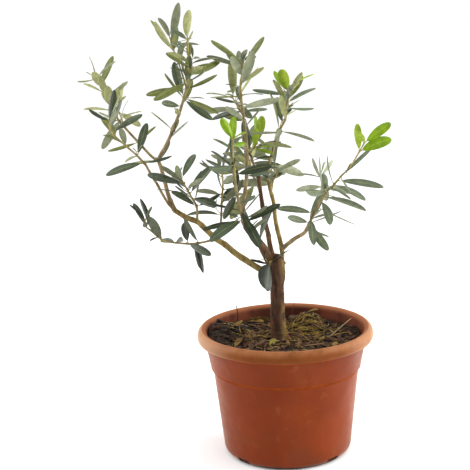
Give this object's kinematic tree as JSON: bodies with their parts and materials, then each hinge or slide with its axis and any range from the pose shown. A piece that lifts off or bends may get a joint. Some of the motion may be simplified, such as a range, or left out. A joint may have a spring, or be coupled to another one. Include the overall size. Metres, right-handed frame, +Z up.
{
  "type": "potted olive bonsai",
  "caption": "Young olive bonsai with a short trunk, slender spreading boughs and narrow leaves in opposite pairs, growing in a round tapered terracotta-coloured pot with a rolled rim.",
  "frame": {"origin": "middle of the pot's flat underside, on the surface the pot stands on", "axes": "+Z up along the pot's axis, +X to the right of the picture, +Y away from the viewer"},
  "size_m": [0.3154, 0.2234, 0.4575],
  "materials": {
    "pot": "satin",
    "soil": "matte",
    "bark": "matte",
    "leaf": "satin"
  },
  "bodies": {
    "root": {"pot": "pot", "soil": "soil", "trunk": "bark", "left_bough": "bark", "left_high_bough": "bark", "left_outer_bough": "bark", "middle_bough": "bark", "leader_bough": "bark", "back_bough": "bark", "right_bough": "bark", "right_low_bough": "bark", "fork_spray": "leaf", "left_low_spray": "leaf", "left_inner_spray": "leaf", "slim_spray": "leaf", "left_outer_spray": "leaf", "left_tall_spray": "leaf", "left_top_spray": "leaf", "middle_spray": "leaf", "leader_spray": "leaf", "centre_spray": "leaf", "right_top_spray": "leaf", "right_inner_spray": "leaf", "right_spray": "leaf", "back_spray": "leaf", "back_right_spray": "leaf"}
  },
  "joints": []
}
